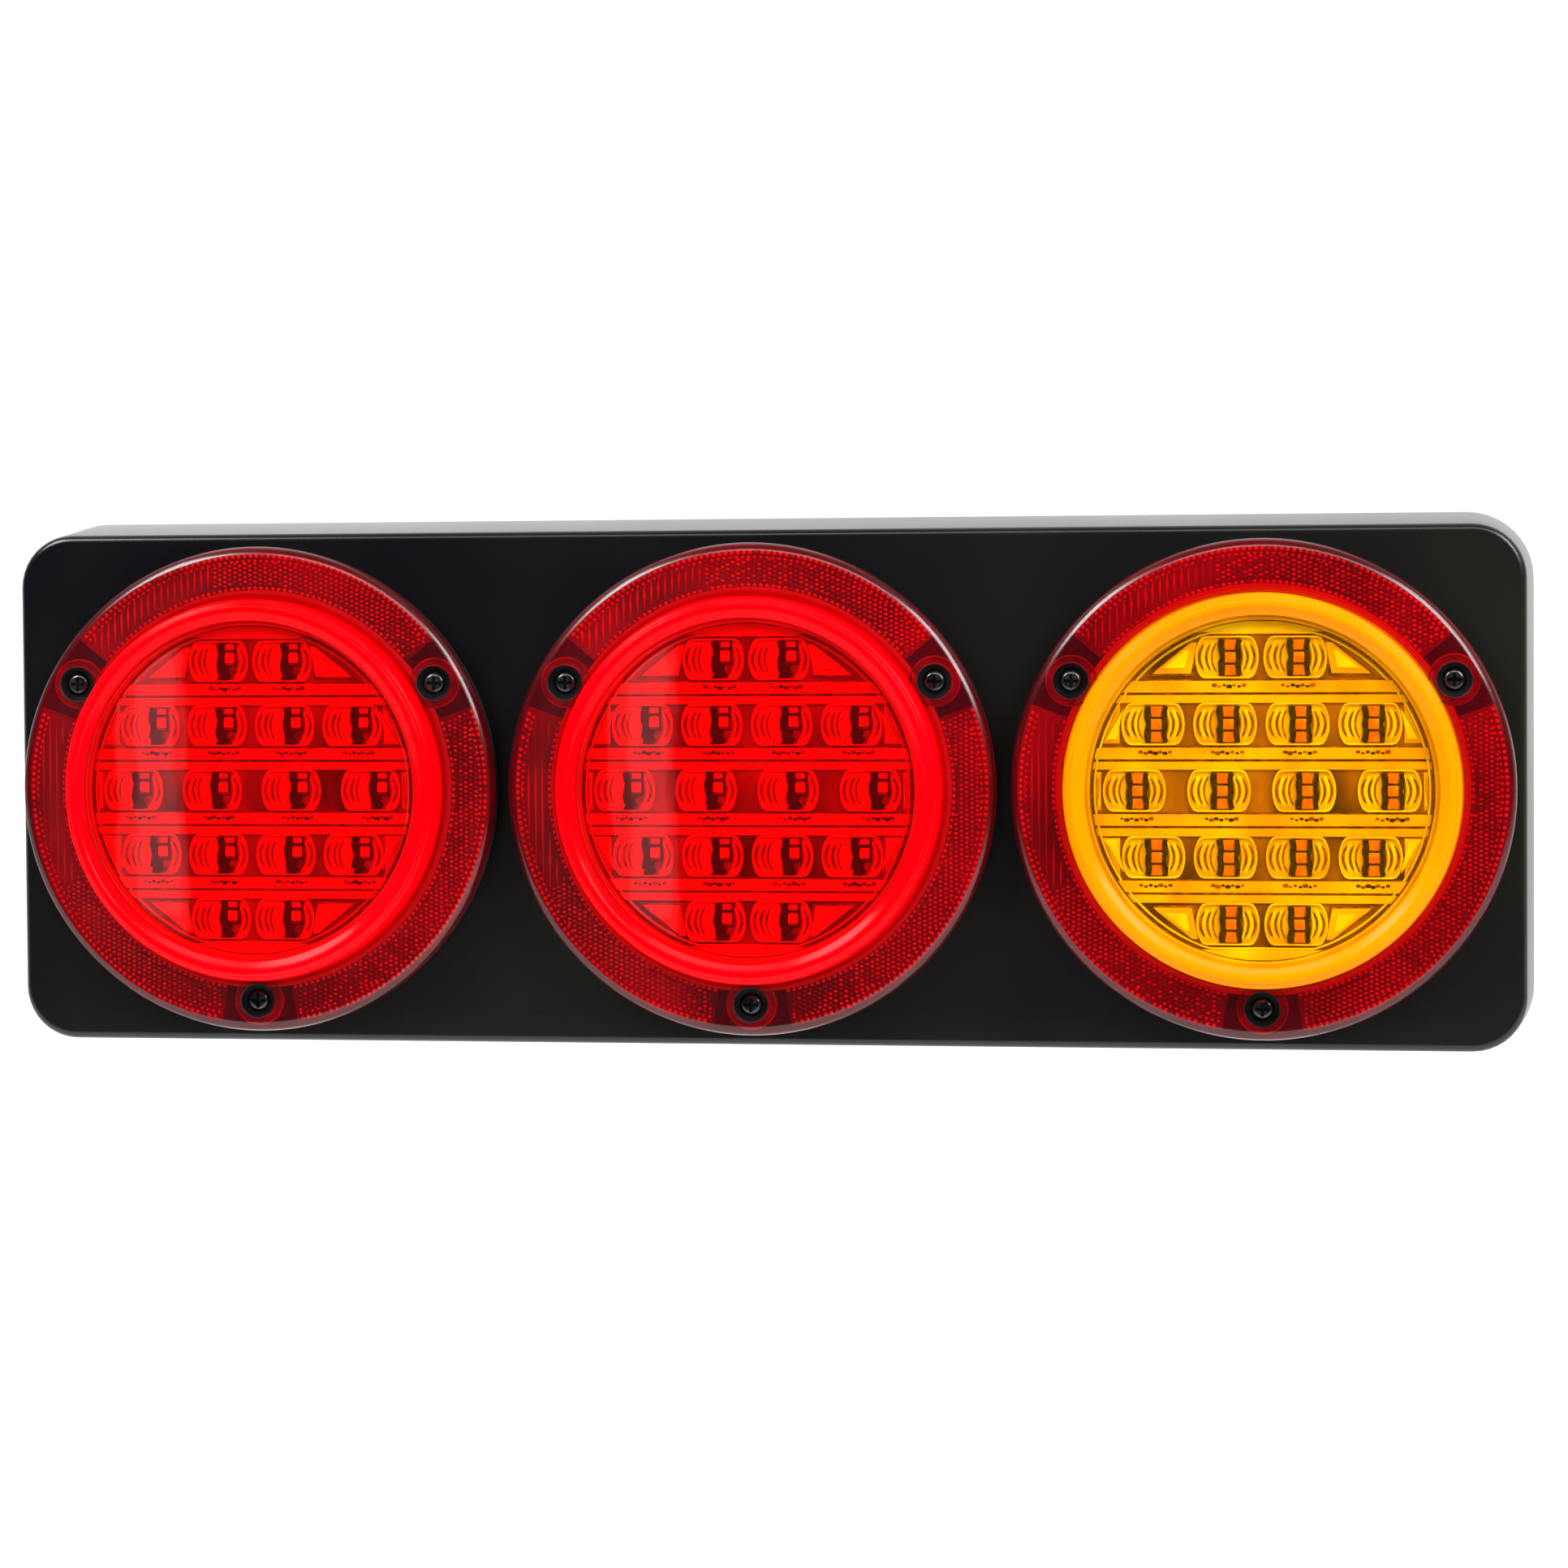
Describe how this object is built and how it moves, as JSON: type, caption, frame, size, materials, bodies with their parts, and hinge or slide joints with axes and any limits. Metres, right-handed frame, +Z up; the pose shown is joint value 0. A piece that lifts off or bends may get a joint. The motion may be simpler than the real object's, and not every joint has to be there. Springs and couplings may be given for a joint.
{
  "type": "trailer tail light",
  "caption": "Long black rounded box carrying round LED lamps in a row, red and amber, each inside a red reflector ring held by screws; open back with steel straps and studs.",
  "frame": {"origin": "middle of the plane that the box's back rim rests on, on the vehicle's rear panel", "axes": "+X to the right seen from behind the vehicle, +Y into the vehicle, +Z up; the lamps face -Y"},
  "size_m": [0.442, 0.074, 0.155],
  "materials": {
    "black_housing": "satin black moulded plastic with a low gloss",
    "black_lamp_body": "fine-textured black moulded plastic",
    "black_ring_base": "black moulded plastic",
    "red_lens": "clear red moulded plastic, polished",
    "amber_lens": "clear amber moulded plastic, polished",
    "red_optic": "clear moulded optic, tinted by the lens in front of it",
    "amber_optic": "clear moulded optic, tinted by the lens in front of it",
    "red_reflector": "red reflex reflector with small prisms under a smooth face",
    "rubber": "matte black rubber",
    "circuit_board": "board with solder mask and surface-mounted LEDs",
    "brass": "tinned brass blades",
    "zinc_steel": "bright zinc plate",
    "black_screw": "black-coated steel"
  },
  "bodies": {
    "housing": {"housing_box": "black_housing", "mounting_strap_left": "zinc_steel", "mounting_stud_left": "zinc_steel", "flange_nut_left": "zinc_steel", "strap_screw_left_upper": "zinc_steel", "strap_screw_left_lower": "zinc_steel", "mounting_strap_right": "zinc_steel", "mounting_stud_right": "zinc_steel", "flange_nut_right": "zinc_steel", "strap_screw_right_upper": "zinc_steel", "strap_screw_right_lower": "zinc_steel"},
    "left_lamp_unit": {"left_lens": "red_lens", "left_lens_seal": "rubber", "left_optic_plate": "red_optic", "left_led_board": "circuit_board", "left_lamp_body": "black_lamp_body", "left_reflector_ring": "red_reflector", "left_ring_base": "black_ring_base", "left_panel_gasket": "rubber", "left_ring_screw_1": "black_screw", "left_ring_screw_2": "black_screw", "left_ring_screw_3": "black_screw", "left_terminal_1": "brass", "left_terminal_2": "brass", "left_terminal_3": "brass"},
    "middle_lamp_unit": {"middle_lens": "red_lens", "middle_lens_seal": "rubber", "middle_optic_plate": "red_optic", "middle_led_board": "circuit_board", "middle_lamp_body": "black_lamp_body", "middle_reflector_ring": "red_reflector", "middle_ring_base": "black_ring_base", "middle_panel_gasket": "rubber", "middle_ring_screw_1": "black_screw", "middle_ring_screw_2": "black_screw", "middle_ring_screw_3": "black_screw", "middle_terminal_1": "brass", "middle_terminal_2": "brass", "middle_terminal_3": "brass"},
    "right_lamp_unit": {"right_lens": "amber_lens", "right_lens_seal": "rubber", "right_optic_plate": "amber_optic", "right_led_board": "circuit_board", "right_lamp_body": "black_lamp_body", "right_reflector_ring": "red_reflector", "right_ring_base": "black_ring_base", "right_panel_gasket": "rubber", "right_ring_screw_1": "black_screw", "right_ring_screw_2": "black_screw", "right_ring_screw_3": "black_screw", "right_terminal_1": "brass", "right_terminal_2": "brass"}
  },
  "joints": [
    {"name": "left_lamp_pull_out", "type": "slide", "parent": "housing", "child": "left_lamp_unit", "axis": [0, -1, 0], "range_m": [0, 0.06]},
    {"name": "middle_lamp_pull_out", "type": "slide", "parent": "housing", "child": "middle_lamp_unit", "axis": [0, -1, 0], "range_m": [0, 0.06]},
    {"name": "right_lamp_pull_out", "type": "slide", "parent": "housing", "child": "right_lamp_unit", "axis": [0, -1, 0], "range_m": [0, 0.06]}
  ]
}
